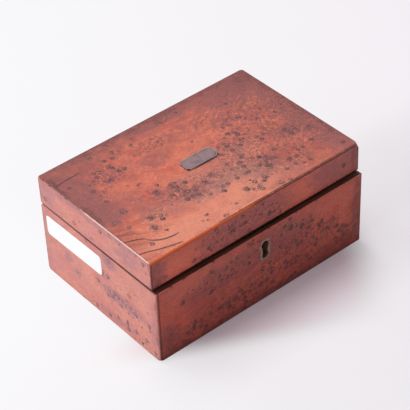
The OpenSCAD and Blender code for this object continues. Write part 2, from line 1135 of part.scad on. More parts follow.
// Plate on the lid's front rim, with two hooks open to the right
module link_plate() {
  color("goldenrod")
    lid_place()
      difference() {
        union() {
          link_block();
          at_lock()
            for (x = hook_places)
              along_y(bolt_y0, bolt_y1)
                hook_outline(x);
        }
        link_screw_spots()
          screw_body(lock_screw_l, lock_head_d, lock_shank_d);
      }
}

module hook_outline(x) {
  difference() {
    translate([x - hook_w / 2, hook_bottom])
      square([hook_w, lid_z0 + link_t - hook_bottom]);
    translate([x - hook_w / 2 + hook_spine, mouth_z - hook_mouth / 2])
      square([hook_w, hook_mouth]);
  }
}

module link_plate_screws() {
  color("darkkhaki")
    lid_place()
      link_screw_spots()
        wood_screw(lock_screw_l, lock_head_d, lock_shank_d);
}

module left_hinge_lid_leaf() {
  color("khaki")
    lid_place()
      hinge_at(-1)
        mirror([0, 0, 1])
          hinge_leaf(1, hinge_pin_d + 2 * hinge_run);
}

module right_hinge_lid_leaf() {
  color("khaki")
    lid_place()
      hinge_at(1)
        mirror([0, 0, 1])
          hinge_leaf(1, hinge_pin_d + 2 * hinge_run);
}

module lid_hinge_screws() {
  color("darkkhaki")
    lid_place()
      lid_screw_spots()
        wood_screw(hinge_screw_l, hinge_head_d, hinge_shank_d);
}

base_front_board();
base_back_board();
base_left_board();
base_right_board();
base_bottom_board();
bottom_brads();
base_front_veneer();
base_back_veneer();
base_left_veneer();
base_right_veneer();
base_front_rim();
base_back_rim();
base_left_rim();
base_right_rim();
base_wall_lining();
base_floor_lining();
escutcheon();
paper_label();
lock_back_plate();
lock_cap();
lock_key_pin();
lock_spring();
lock_screws();
lock_bolt();
left_hinge_base_leaf();
right_hinge_base_leaf();
left_hinge_pin();
right_hinge_pin();
base_hinge_screws();
lid_front_board();
lid_back_board();
lid_left_board();
lid_right_board();
lid_top_board();
lid_top_veneer();
lid_front_veneer();
lid_back_veneer();
lid_left_veneer();
lid_right_veneer();
lid_front_rim();
lid_back_rim();
lid_left_rim();
lid_right_rim();
lid_wall_lining();
lid_top_lining();
name_plate();
link_plate();
link_plate_screws();
left_hinge_lid_leaf();
right_hinge_lid_leaf();
lid_hinge_screws();
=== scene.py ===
import math

import bpy
from mathutils import Matrix, Vector


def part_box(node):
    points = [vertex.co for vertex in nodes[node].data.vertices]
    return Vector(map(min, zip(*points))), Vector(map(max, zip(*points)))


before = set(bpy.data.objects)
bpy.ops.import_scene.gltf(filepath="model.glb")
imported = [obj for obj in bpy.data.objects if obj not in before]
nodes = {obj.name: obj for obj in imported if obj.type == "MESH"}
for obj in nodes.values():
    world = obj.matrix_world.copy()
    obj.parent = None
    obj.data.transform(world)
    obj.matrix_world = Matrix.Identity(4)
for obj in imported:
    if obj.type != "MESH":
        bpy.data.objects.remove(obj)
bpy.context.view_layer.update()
scene = bpy.context.scene

# ---------------------------------------------------------------- camera

# fitted to the box's corners in the photo: azimuth, elevation and roll, then the spot on the floor that is
# looked at and the distance to it, in metres
AZ, EL, ROLL = math.radians(-38.65), math.radians(40.05), math.radians(-2.47)
TARGET = Vector((0.0378, 0.0449, 0))
DISTANCE = 1.3206
LENS_MM = 144.3
back = Vector((math.sin(AZ) * math.cos(EL), -math.cos(AZ) * math.cos(EL), math.sin(EL)))
right = Vector((math.cos(AZ), math.sin(AZ), 0))
up = back.cross(right)
cam_right = right * math.cos(ROLL) + up * math.sin(ROLL)
cam_up = up * math.cos(ROLL) - right * math.sin(ROLL)
cam_data = bpy.data.cameras.new("camera")
cam_data.sensor_width = 36
cam_data.lens = LENS_MM
cam_data.clip_start = 0.01
cam_data.clip_end = 50
camera = bpy.data.objects.new("camera", cam_data)
scene.collection.objects.link(camera)
place = Matrix((cam_right, cam_up, back)).transposed().to_4x4()
place.translation = TARGET + back * DISTANCE
camera.matrix_world = place
scene.camera = camera
scene.view_settings.view_transform = "Standard"

# ---------------------------------------------------------------- light


def lamp(name, spot, aim, size, power, colour):
    """A square area lamp at spot, turned to aim: lengths in metres, power in watts."""
    data = bpy.data.lights.new(name, "AREA")
    data.shape = "RECTANGLE"
    data.size = data.size_y = size
    data.energy = power
    data.color = colour
    obj = bpy.data.objects.new(name, data)
    scene.collection.objects.link(obj)
    way = Vector(aim) - Vector(spot)
    obj.matrix_world = Matrix.Translation(spot) @ way.to_track_quat("-Z", "Y").to_matrix().to_4x4()


BOX_MIDDLE = (0, 0, 0.04)
lamp("overhead", (-0.1, 0.5, 1.5), BOX_MIDDLE, 0.8, 15.2, (1, 0.99, 0.985))
lamp("side", (-1.4, 0.15, 0.75), BOX_MIDDLE, 1.1, 12.6, (1, 0.99, 0.98))

FILL_COLOUR, FILL_STRENGTH = (1, 0.94, 0.99, 1), 0.3
BACKDROP_COLOUR, BACKDROP_STRENGTH = (0.9, 0.88, 0.905, 1), 1

# a soft fill for the box; the camera and reflections see a plain pale backdrop
world = bpy.data.worlds.new("world")
scene.world = world
world.use_nodes = True
wt = world.node_tree
wt.nodes.clear()
out = wt.nodes.new("ShaderNodeOutputWorld")
mixer = wt.nodes.new("ShaderNodeMixShader")
light_bg = wt.nodes.new("ShaderNodeBackground")
seen_bg = wt.nodes.new("ShaderNodeBackground")
path = wt.nodes.new("ShaderNodeLightPath")
either = wt.nodes.new("ShaderNodeMath")
either.operation = "MAXIMUM"
light_bg.inputs["Color"].default_value = FILL_COLOUR
light_bg.inputs["Strength"].default_value = FILL_STRENGTH
seen_bg.inputs["Color"].default_value = BACKDROP_COLOUR
seen_bg.inputs["Strength"].default_value = BACKDROP_STRENGTH
wt.links.new(path.outputs["Is Camera Ray"], either.inputs[0])
wt.links.new(path.outputs["Is Glossy Ray"], either.inputs[1])
wt.links.new(either.outputs[0], mixer.inputs[0])
wt.links.new(light_bg.outputs[0], mixer.inputs[1])
wt.links.new(seen_bg.outputs[0], mixer.inputs[2])
wt.links.new(mixer.outputs[0], out.inputs[0])

# ---------------------------------------------------------------- node helpers

MM = 1000.0  # millimetres in a metre; the materials work in millimetres
# height of each surface's relief, in metres
VENEER_RELIEF = 0.00016
WOOD_RELIEF = 0.00006
PAPER_RELIEF = 0.00005
METAL_RELIEF = 0.00002
FLOOR_RELIEF = 0.00004


def rgb(r, g, b):
    """A colour as written in 0 to 255, made linear."""
    lin = [v / 255 / 12.92 if v <= 10 else ((v / 255 + 0.055) / 1.055) ** 2.4 for v in (r, g, b)]
    return (*lin, 1)


def tinted(tone, share):
    """A tone of 0 to 255 with every channel times share."""
    return [min(255, int(c * share)) for c in tone]


class Look:
    """A material under construction; most methods add a node and return its output."""

    def __init__(self, name, rough=0.5, metal=0.0, spec=0.5, coat=0.0, coat_rough=0.2):
        self.mat = bpy.data.materials.new(name)
        self.mat.use_nodes = True
        self.tree = self.mat.node_tree
        self.bsdf = self.tree.nodes["Principled BSDF"]
        for key, value in (
            ("Roughness", rough),
            ("Metallic", metal),
            ("Specular IOR Level", spec),
            ("Coat Weight", coat),
            ("Coat Roughness", coat_rough),
        ):
            self.bsdf.inputs[key].default_value = value
        self.coords = self.node("ShaderNodeTexCoord").outputs["Object"]

    @classmethod
    def on(cls, mat):
        """The same helpers over a material that exists."""
        k = cls.__new__(cls)
        k.mat, k.tree = mat, mat.node_tree
        k.bsdf = k.tree.nodes["Principled BSDF"]
        k.coords = k.node("ShaderNodeTexCoord").outputs["Object"]
        return k

    def millimetres(self):
        """The piece's own coordinates in mm."""
        return self.vec("SCALE", self.coords, scale=MM)

    def node(self, kind, **settings):
        made = self.tree.nodes.new(kind)
        for key, value in settings.items():
            setattr(made, key, value)
        return made

    def feed(self, socket, value):
        if isinstance(value, bpy.types.NodeSocket):
            self.tree.links.new(value, socket)
        else:
            socket.default_value = value

    def math(self, op, a, b=0.0, c=0.0, clamp=False):
        n = self.node("ShaderNodeMath", operation=op, use_clamp=clamp)
        for i, value in enumerate((a, b, c)):
            self.feed(n.inputs[i], value)
        return n.outputs[0]

    def add(self, a, b):
        return self.math("ADD", a, b)

    def sub(self, a, b):
        return self.math("SUBTRACT", a, b)

    def mul(self, a, b, clamp=False):
        return self.math("MULTIPLY", a, b, clamp=clamp)

    def most(self, a, b):
        return self.math("MAXIMUM", a, b)

    def vec(self, op, a, b=(0, 0, 0), scale=1.0):
        n = self.node("ShaderNodeVectorMath", operation=op)
        self.feed(n.inputs[0], a)
        if op == "SCALE":
            self.feed(n.inputs["Scale"], scale)
        elif op != "LENGTH":
            self.feed(n.inputs[1], b)
        return n.outputs["Value" if op in ("LENGTH", "DOT_PRODUCT") else "Vector"]

    def split(self, v):
        n = self.node("ShaderNodeSeparateXYZ")
        self.feed(n.inputs[0], v)
        return n.outputs

    def join(self, x, y):
        n = self.node("ShaderNodeCombineXYZ")
        for i, value in enumerate((x, y)):
            self.feed(n.inputs[i], value)
        return n.outputs[0]

    def noise(self, p, size, detail=2.0, rough=0.5, bend=0.0, colour=False):
        """Noise whose features are about size across, in the units of p."""
        n = self.node("ShaderNodeTexNoise")
        self.feed(n.inputs["Vector"], p)
        n.inputs["Scale"].default_value = 1 / size
        n.inputs["Detail"].default_value = detail
        n.inputs["Roughness"].default_value = rough
        n.inputs["Distortion"].default_value = bend
        return n.outputs["Color" if colour else "Fac"]

    def cells(self, p, size, places=False):
        """Distance to the nearest cell's centre in the units of p, and the cell's three random numbers.

        With places, the centre too.
        """
        n = self.node("ShaderNodeTexVoronoi", voronoi_dimensions="2D")
        self.feed(n.inputs["Vector"], p)
        n.inputs["Scale"].default_value = 1 / size
        found = self.mul(n.outputs["Distance"], size), self.split(n.outputs["Color"])
        return (*found, n.outputs["Position"]) if places else found

    def step(self, x, lo, hi, a=0.0, b=1.0):
        """Smooth step from a at lo to b at hi."""
        n = self.node("ShaderNodeMapRange", interpolation_type="SMOOTHSTEP")
        for key, value in (("Value", x), ("From Min", lo), ("From Max", hi), ("To Min", a), ("To Max", b)):
            self.feed(n.inputs[key], value)
        return n.outputs[0]

    def mix(self, fac, a, b):
        """Colour a, turned into b by fac."""
        n = self.node("ShaderNodeMix", data_type="RGBA")
        self.feed(n.inputs["Factor"], fac)
        self.feed(n.inputs[6], a)
        self.feed(n.inputs[7], b)
        return n.outputs[2]

    def warp(self, p, size, amount):
        """p, pushed about by noise of that size by up to about amount."""
        shift = self.vec("SUBTRACT", self.noise(p, size, 2, colour=True), (0.5, 0.5, 0.5))
        return self.vec("ADD", p, self.vec("SCALE", shift, scale=2 * amount))

    def blobs(self, p, spots, soft=0.5):
        """Ellipses (u, v, half width, half height, strength).

        Full inside, falling to 0 over the soft outer share.
        """
        total = None
        for u, v, ru, rv, strength in spots:
            n = self.node("ShaderNodeTexGradient", gradient_type="SPHERICAL")
            n.texture_mapping.vector_type = "TEXTURE"
            n.texture_mapping.translation = (u, v, 0)
            n.texture_mapping.scale = (ru * (1 + soft), rv * (1 + soft), 1e6)
            self.feed(n.inputs["Vector"], p)
            one = self.mul(self.mul(n.outputs["Fac"], 1.8, clamp=True), strength)
            total = one if total is None else self.most(total, one)
        return self.step(total, 0.0, 1.0)

    def course(self, u, v, points):
        """Distance of v from a line through points that runs along u, and 1 between its ends."""
        lo, hi = points[0][0], points[-1][0]
        base = min(q[1] for q in points) - 1
        span = max(q[1] for q in points) - base + 1
        n = self.node("ShaderNodeFloatCurve")
        curve = n.mapping.curves[0]
        while len(curve.points) < len(points):
            curve.points.new(0.5, 0.5)
        for point, (a, b) in zip(curve.points, points):
            point.location = ((a - lo) / (hi - lo), (b - base) / span)
        n.mapping.update()
        self.feed(n.inputs["Value"], self.math("DIVIDE", self.sub(u, lo), hi - lo, clamp=True))
        middle = self.math("MULTIPLY_ADD", n.outputs[0], span, base)
        # blunt at its first end, running out over the last 5 mm
        within = self.mul(self.step(u, lo - 0.6, lo + 0.6), self.step(u, hi + 0.3, hi - 5.0))
        return self.math("ABSOLUTE", self.sub(v, middle)), within

    def bump(self, height, distance, strength):
        """Height in units of distance, which is in metres."""
        n = self.node("ShaderNodeBump")
        n.inputs["Strength"].default_value = strength
        n.inputs["Distance"].default_value = distance
        self.feed(n.inputs["Height"], height)
        return n.outputs[0]

    def base(self):
        """What feeds the base colour so far."""
        return self.bsdf.inputs["Base Color"].links[0].from_socket

    def finish(self, colour, rough=None, normal=None):
        self.feed(self.bsdf.inputs["Base Color"], colour)
        if rough is not None:
            self.feed(self.bsdf.inputs["Roughness"], rough)
        if normal is not None:
            self.feed(self.bsdf.inputs["Normal"], normal)
            if self.bsdf.inputs["Coat Weight"].default_value > 0:
                self.feed(self.bsdf.inputs["Coat Normal"], normal)
        return self.mat


# ---------------------------------------------------------------- veneer

# the faces as fitted to the photo, in mm
BOX_W, BOX_D, BASE_H = 200, 137, 66
LID_D, LID_H = 133, 24.5
# at rest the lid leans back by half a degree round the hinge; its faces start at LID_Z
AJAR = math.tan(math.radians(0.5))
HINGE_Y = 66.5
LID_Z = 67.0
EDGE_LINE_FADE = 6  # mm over which each line along an edge fades at its ends; the lines are wear, painted highlights and painted shade
CRACK_TONE = (38, 16, 14)
BURR_TONES = dict(
    orange=(216, 118, 86),
    brown=(176, 84, 68),
    mauve=(142, 74, 72),
    deep=(100, 46, 44),
    eye=(52, 28, 34),
    halo=(104, 64, 70),
    red=(192, 78, 58),
    pale=(222, 168, 150),
    curl=(226, 124, 88),
)


def dress(node, mat):
    """Gives a CAD node one material over all its faces."""
    mesh = nodes[node].data
    mesh.materials.clear()
    mesh.materials.append(mat)
    for poly in mesh.polygons:
        poly.material_index = 0


def face_coords(k, face, lid):
    """Flat coordinates of a face in mm, from its lower left corner as seen from outside."""
    x, y, z = k.split(k.millimetres())
    if lid:
        z = k.sub(k.add(z, k.mul(k.sub(y, HINGE_Y), AJAR)), LID_Z)
    if face == "top":
        return k.join(k.add(x, BOX_W / 2), k.add(y, LID_D - BOX_D / 2))
    if face == "front":
        return k.join(k.add(x, BOX_W / 2), z)
    if face == "back":
        return k.join(k.sub(BOX_W / 2, x), z)
    if face == "left":
        return k.join(k.sub(BOX_D / 2, y), z)
    return k.join(k.add(y, BOX_D / 2), z)


def veneer(
    part,
    face,
    seed,
    size,
    bright=(),
    mauve=(),
    dark=(),
    sheen_and_pale_patches=(),
    shade=(),
    streaks=(),
    eyes=(),
    fine=(),
    marks=(),
    cracks=(),
    nicks_and_shadows=(),
    edge_wear_and_shading=(),
    tones=BURR_TONES,
    spec=0.5,
    rough=0.42,
    coat=0.0,
    scatter=0.03,
    spacing=5.4,
    grit=2.3,
    pip=0.6,
    slim=1.0,
    faint=0.35,
    sharp=1.0,
):
    """Dresses the veneer of one face of the base or the lid in burr.

    Places are flat coordinates in mm, ellipses as Look.blobs takes them.
    size: width and height of the face
    bright, mauve, dark: ellipses where the ground turns orange, mauve and dark
    bloom, shade: ellipses where the ground is paler, a painted sheen on the lid's top, and where it is darker
    streaks: ellipses with a direction in degrees, where the ground sweeps in bands
    eyes, fine: ellipses where eyes crowd, and where small eyes lie thick
    marks: single eyes (u, v, radius)
    cracks: (points of a line that runs along u, width)
    nicks: small dark losses, and patches of painted shadow (u, v, half width, half height)
    worn: lines along edges, of wear, of painted highlight and of painted shade (axis, where, from, to, tone,
    amount, width, gaps)
    scatter: share of the cells away from the crowds that hold an eye
    spacing, grit: distance between eyes, and between the dark points in them
    pip, slim: the points' size, and how much narrower than high they are
    faint, sharp: how dark the small eyes' points and the other points are
    """
    t = {key: rgb(*tone) for key, tone in tones.items()}
    amber = rgb(*tinted(tones["orange"], 1.12))
    k = Look(f"burr_{part}_{face}", rough, 0, spec, coat, 0.22)
    flat = face_coords(k, face, part == "lid")
    shift = (seed * 61.7, seed * 37.3, 0)
    p = k.vec("ADD", flat, shift)
    near = k.warp(flat, 14, 5)
    q = k.warp(p, 24, 9)

    # ground: drifts from orange to brown, with long curling flames in them
    drift = k.noise(q, 42, 3, 0.55)
    flame = k.noise(k.vec("MULTIPLY", k.warp(q, 9, 3), (0.45, 1.0, 1.0)), 6, 4, 0.6, 0.8)
    ragged = k.mul(k.sub(k.noise(k.warp(p, 9, 4), 6.5, 4, 0.62), 0.5), 1.5)
    warm = k.step(k.add(k.mul(drift, 0.55), k.mul(flame, 0.45)), 0.42, 0.58)
    if bright:
        warm = k.most(warm, k.mul(k.blobs(near, bright), k.step(flame, 0.2, 0.5, 0.75, 1.0)))
    ground = k.mix(warm, t["brown"], t["orange"])
    red = k.step(k.noise(q, 15, 3, 0.6), 0.5, 0.7)
    ground = k.mix(k.mul(red, 0.7), ground, t["red"])
    if mauve:
        haze = k.step(k.add(k.blobs(near, mauve, 0.8), k.mul(ragged, 0.8)), 0.0, 1.2)
        ground = k.mix(haze, ground, t["mauve"])
    # dark ellipses: darker tone, and along the bottom of the base's faces painted shade near the floor
    if dark:
        dark_tone_and_shade = k.step(k.add(k.blobs(near, dark, 0.8), k.mul(ragged, 0.7)), 0.05, 1.15)
        ground = k.mix(dark_tone_and_shade, ground, t["deep"])

    # streaks: bands that sweep along one direction
    for u, v, ru, rv, turn in streaks:
        c, d = math.cos(math.radians(turn)), math.sin(math.radians(turn))
        run = k.vec("DOT_PRODUCT", near, (0.1 * c, 0.1 * d, 0.0))
        across = k.vec("DOT_PRODUCT", near, (-d, c, 0.0))
        band = k.noise(k.join(run, across), 4.2, 3, 0.55)
        there = k.blobs(near, [(u, v, ru, rv, 1.0)], 0.6)
        ground = k.mix(k.mul(k.step(band, 0.52, 0.3), k.mul(there, 0.6)), ground, t["deep"])
        ground = k.mix(k.mul(k.step(band, 0.52, 0.64), k.mul(there, 0.7)), ground, t["orange"])

    # where eyes crowd, the ground between them is greyer and broken up, with bright and dark curls
    crowd = k.blobs(near, [*eyes, *fine], 0.45) if eyes else 0.0
    mottle = k.noise(k.warp(p, 6, 2), 3.2, 4, 0.65)
    purple = k.mul(k.step(mottle, 0.42, 0.58), k.add(k.mul(crowd, 0.75), 0.2))
    ground = k.mix(purple, ground, t["mauve"])
    curl = k.noise(k.warp(p, 8, 3.5), 3.6, 2, 0.5)
    amount = k.add(k.mul(crowd, 0.5), k.step(flame, 0.5, 0.7, 0.08, 0.3))
    dark_curl = k.step(k.math("ABSOLUTE", k.sub(curl, 0.5)), 0.045, 0.0)
    ground = k.mix(k.mul(dark_curl, amount), ground, t["deep"])
    light_curl = k.step(k.math("ABSOLUTE", k.sub(curl, 0.59)), 0.06, 0.01)
    ground = k.mix(k.mul(light_curl, amount), ground, t["curl"])

    # paler ground in broad patches; on the lid's top a painted sheen
    if sheen_and_pale_patches:
        ground = k.mix(k.mul(k.blobs(near, sheen_and_pale_patches, 0.9), 0.3), ground, t["pale"])

    # small eyes, thick in places: a faint round each, some with a dark point
    wob = k.warp(p, 3.0, 1.1)
    if fine:
        d4, r4 = k.cells(k.vec("ADD", wob, (9.1, 27.7, 0)), 3.3)
        here4 = k.math("LESS_THAN", r4[0], k.mul(k.blobs(near, fine, 0.4), 0.8))
        round4 = k.mul(k.step(d4, k.add(k.mul(r4[1], 0.7), 1.0), 0.5), here4)
        ground = k.mix(k.mul(round4, k.step(r4[2], 0.0, 1.0, 0.12, 0.62)), ground, t["halo"])
        point4 = k.mul(k.step(d4, k.add(k.mul(r4[2], 0.5), 0.25), 0.15), here4)
        ground = k.mix(k.mul(point4, faint), ground, t["eye"])

    # eyes: a soft ringed round each, with a dark crescent and heart, broken dark points and a few pale ones
    d1, r1, mid = k.cells(wob, spacing, places=True)
    packed = k.blobs(k.vec("SUBTRACT", mid, shift), eyes, 0.3) if eyes else 0.0
    here1 = k.math("LESS_THAN", r1[0], k.add(packed, scatter))
    reach = k.add(k.mul(r1[1], 0.34 * spacing), 0.22 * spacing)
    here1 = k.mul(here1, k.step(r1[1], 0.0, 0.7, 0.35, 1.0))
    span = k.math("DIVIDE", d1, reach)
    lean = k.vec("NORMALIZE", k.join(k.sub(r1[1], 0.5), k.sub(r1[2], 0.5)))
    lean = k.math("DIVIDE", k.vec("DOT_PRODUCT", lean, k.vec("SUBTRACT", wob, mid)), reach)
    bow = k.mul(k.step(k.math("ABSOLUTE", k.sub(span, 0.6)), 0.3, 0.08), k.step(lean, 0.0, 0.5))
    bow = k.mul(k.most(bow, k.step(span, 0.34, 0.12)), here1)
    inside = k.mul(k.step(span, 1.15, 0.5), here1)
    if marks:
        own = k.blobs(k.warp(flat, 3.0, 0.9), [(u, v, r, r, 1.0) for u, v, r in marks], 0.2)
        bow = k.most(bow, k.mul(k.step(own, 0.75, 1.0), k.step(mottle, 0.5, 0.62)))
        inside = k.most(inside, own)
    ring = k.math("SINE", k.add(k.mul(d1, 3.0), k.mul(mottle, 7.0)))
    colour = k.mix(k.mul(inside, k.step(ring, -0.6, 0.6, 0.25, 1.0)), ground, t["halo"])
    colour = k.mix(k.mul(bow, 0.7), colour, t["eye"])
    thin = k.vec("MULTIPLY", k.vec("ADD", wob, (17.3, 5.1, 0)), (slim, 1.0, 1.0))
    d2, r2 = k.cells(thin, grit)
    chance = k.add(k.add(k.mul(inside, 0.55), k.mul(crowd, 0.12)), scatter * 0.4)
    here2 = k.math("LESS_THAN", r2[0], chance)
    radius = k.add(k.mul(k.math("POWER", r2[1], 4.0), pip), 0.26)
    dots = k.mul(k.step(d2, radius, k.mul(radius, 0.35)), here2)
    dots = k.mul(dots, k.step(r2[2], 0.0, 0.4, 0.6, 1.0))
    colour = k.mix(k.mul(dots, sharp), colour, t["eye"])
    d3, r3 = k.cells(k.vec("ADD", wob, (41.9, 3.3, 0)), 1.7)
    glint = k.mul(k.step(d3, 0.4, 0.1), k.mul(k.math("LESS_THAN", r3[0], 0.2), inside))
    colour = k.mix(k.mul(glint, 0.8), colour, t["pale"])

    # broad places where the colour is darker
    if shade:
        colour = k.mix(k.mul(k.blobs(near, shade, 0.9), 0.6), colour, t["deep"])

    # grain: short curling fibres that bend round the eyes
    bent = k.vec("ADD", k.warp(p, 7, 3.0), k.join(k.mul(inside, 1.2), k.mul(inside, -0.8)))
    fibre = k.noise(k.vec("MULTIPLY", bent, (0.55, 1.3, 1.0)), 0.8, 3, 0.65, 0.5)
    colour = k.mix(k.step(fibre, 0.5, 0.72, 0.0, 0.42), colour, t["deep"])
    colour = k.mix(k.step(fibre, 0.48, 0.27, 0.0, 0.35), colour, amber)

    # splits in the veneer
    depth = k.mul(dots, -0.35)
    if cracks:
        along = k.split(k.warp(flat, 3.2, 0.35))
        uneven = k.noise(flat, 2.2, 2, 0.6)
    for points, width in cracks:
        d, within = k.course(along[0], along[1], points)
        half = k.mul(k.mul(uneven, within), 2 * width)
        cut = k.step(d, half, k.mul(half, 0.35))
        colour = k.mix(k.mul(k.step(d, 1.5, 0.3, 0.0, 0.5), within), colour, t["deep"])
        colour = k.mix(cut, colour, rgb(*CRACK_TONE))
        depth = k.sub(depth, cut)

    # the border of the sheet: handled and darker, with small losses and patches of painted shadow
    w, h = size
    s = k.split(flat)
    edge_u = k.math("MINIMUM", s[0], k.sub(w, s[0]))
    edge_v = k.math("MINIMUM", s[1], k.sub(h, s[1]))
    edge = k.math("MINIMUM", edge_u, edge_v)
    edge = k.add(edge, k.mul(k.sub(k.noise(p, 4, 3, 0.6), 0.5), 0.9))
    colour = k.mix(k.step(edge, 1.5, 0.2, 0.0, 0.5), colour, t["deep"])
    if nicks_and_shadows:
        loss_and_shadow = k.blobs(k.warp(flat, 1.5, 0.4), [(u, v, a, b, 1.0) for u, v, a, b in nicks_and_shadows], 0.2)
        colour = k.mix(loss_and_shadow, colour, t["eye"])
        depth = k.sub(depth, loss_and_shadow)
    # lines along the edges: some are wear, some are painted highlights and painted shade
    if edge_wear_and_shading:
        nibble = k.sub(k.noise(flat, 2.0, 4, 0.7), 0.5)
    for axis, where, lo, hi, tone, amount, wide, gaps in edge_wear_and_shading:
        d = k.math("ABSOLUTE", k.sub(s[axis], where))
        starts = k.step(s[1 - axis], lo - EDGE_LINE_FADE, lo + EDGE_LINE_FADE)
        within = k.mul(starts, k.step(s[1 - axis], hi + EDGE_LINE_FADE, hi - EDGE_LINE_FADE))
        if gaps:
            within = k.mul(within, k.step(k.noise(flat, 5, 3, 0.6), gaps - 0.05, gaps + 0.05))
        bite = k.step(k.add(d, k.mul(nibble, 2.4 * wide)), wide, wide * 0.7)
        colour = k.mix(k.mul(k.mul(bite, within), amount), colour, rgb(*tone))

    rub = k.noise(p, 7, 4, 0.6)
    shine = k.add(k.step(rub, 0.3, 0.7, rough - 0.06, rough + 0.08), k.mul(dots, 0.15))
    grain_h = k.add(k.mul(fibre, 0.3), k.mul(k.noise(p, 16, 2), 1.2))
    normal = k.bump(k.add(grain_h, k.mul(depth, 1.5)), VENEER_RELIEF, 0.8)
    dress(f"{part}_{face}_veneer", k.finish(colour, shine, normal))


TOP_EYES = [
    (39, 100, 13, 10, 0.95), (56, 114, 9, 5, 0.6), (89, 107, 13, 6, 0.6), (24, 81, 7, 7, 0.45),
    (51, 59, 8, 6, 0.6), (66, 50, 11, 9, 0.95), (36, 40, 10, 8, 0.95), (82, 38, 20, 10, 0.98),
    (98, 44, 9, 9, 0.9), (119, 38, 14, 11, 0.9), (135, 30, 10, 10, 0.9), (27, 28, 5, 6, 0.8),
    (111, 16, 10, 6, 0.8), (126, 64, 12, 14, 0.75), (142, 72, 10, 12, 0.7), (158, 62, 20, 14, 0.45),
    (160, 88, 22, 16, 0.42), (175, 46, 14, 10, 0.6), (168, 30, 14, 9, 0.5), (150, 15, 18, 8, 0.45),
    (108, 124, 8, 4, 0.6), (132, 103, 8, 7, 0.6), (50, 127, 14, 3, 0.5),
]
TOP_FINE = [
    (164, 74, 34, 34, 0.62), (172, 40, 26, 22, 0.6), (126, 50, 22, 20, 0.9), (76, 44, 26, 12, 0.9),
    (40, 98, 18, 13, 0.6), (88, 105, 18, 8, 0.6), (146, 18, 22, 10, 0.6), (150, 100, 24, 8, 0.5),
]
TOP_MARKS = [
    (36.7, 104.7, 2.9), (46, 106, 2.9), (34, 93.3, 2.4), (26.7, 99.7, 1.8), (21.4, 98, 1.7),
    (52.4, 57.6, 4.3), (21.4, 57.6, 3.6), (7.7, 50.9, 3.1), (66, 55.4, 2.9), (69.6, 44, 3.6),
    (86, 43.3, 3.1), (95.3, 46.9, 3.6), (93, 31, 2.6), (32.4, 39, 3.6), (26.7, 29, 3.6),
    (31.7, 21.1, 1.9), (56.7, 11.1, 1.4), (60, 9.5, 1.3), (86.7, 9.7, 1.6), (103.1, 16.9, 3.4),
    (112.9, 19, 2.6), (111, 11.1, 3.1), (121.7, 18, 3.1), (73.1, 4.2, 2.6), (126.7, 4.7, 3.4),
    (133.9, 3.3, 2.2), (154.6, 11.1, 1.8), (133.1, 25.4, 3.4), (138.1, 32.6, 3.4), (125.3, 48.3, 2.9),
    (138.9, 63.3, 3.8), (136.7, 76.1, 2.4), (110.3, 86.9, 2.0), (73.9, 114.7, 2.6), (40.3, 128.3, 2.2),
    (106, 124.7, 3.1), (124.6, 124, 2.0), (171.7, 49.7, 3.6), (177, 48.3, 3.1), (158.1, 81.1, 2.2),
    (181, 72.6, 2.2), (196, 26.1, 2.9),
]
TOP_BRIGHT = [
    (50, 15, 56, 11, 1.0), (108, 20, 30, 9, 0.9), (20, 34, 12, 10, 0.7), (36, 78, 12, 9, 0.7),
    (62, 70, 18, 8, 0.5), (50, 108, 14, 8, 0.5), (102, 81, 20, 9, 0.9), (52, 120, 18, 4, 0.6),
    (170, 101, 10, 7, 0.8), (120, 72, 8, 7, 0.6), (150, 58, 16, 10, 0.5), (191, 9, 9, 8, 0.9),
]
TOP_MAUVE = [
    (6, 96, 13, 26, 1.0), (8, 64, 13, 14, 0.9), (182, 118, 34, 16, 1.0), (112, 129, 40, 8, 0.9),
    (46, 131, 42, 7, 0.9), (24, 122, 26, 12, 0.6), (200, 60, 18, 74, 1.0), (160, 84, 26, 30, 0.4),
    (100, 122, 60, 8, 0.5), (176, 30, 24, 20, 0.45), (160, 6, 34, 8, 0.4), (177, 49, 13, 7, 0.95),
    (75, 89, 12, 7, 0.6), (112, 100, 16, 9, 0.5), (146, 92, 12, 10, 0.6), (130, 28, 14, 9, 0.9),
    (114, 37, 14, 10, 0.7), (88, 37, 22, 7, 0.8), (66, 49, 10, 7, 0.6), (36, 42, 9, 7, 0.5),
    (56, 48, 14, 8, 0.5), (28, 70, 12, 12, 0.5), (30, 55, 12, 9, 0.55), (82, 56, 18, 8, 0.4),
    (110, 76, 12, 10, 0.45), (150, 32, 12, 10, 0.5), (134, 66, 14, 10, 0.5),
]
TOP_DARK = [
    (196, 126, 14, 10, 0.6), (110, 132, 90, 4, 0.6), (1.5, 70, 3, 14, 0.7), (1.5, 112, 3.5, 14, 0.8),
    (199, 80, 4, 50, 0.6),
]
TOP_CRACKS = [
    ([(1, 30.4), (6.8, 28.2), (13.2, 24.6), (17.4, 19), (24.6, 14.6), (31.8, 13), (37.4, 13.2)], 0.6),
    ([(1, 13.4), (6.8, 11.8), (13.2, 9), (20.2, 6.8), (28.8, 4.2), (34.6, 3.2)], 0.55),
    ([(2, 113), (10, 114.4), (17.4, 114.6), (26, 115)], 0.34),
    ([(46.8, 74), (52.4, 74.6)], 0.5),
]
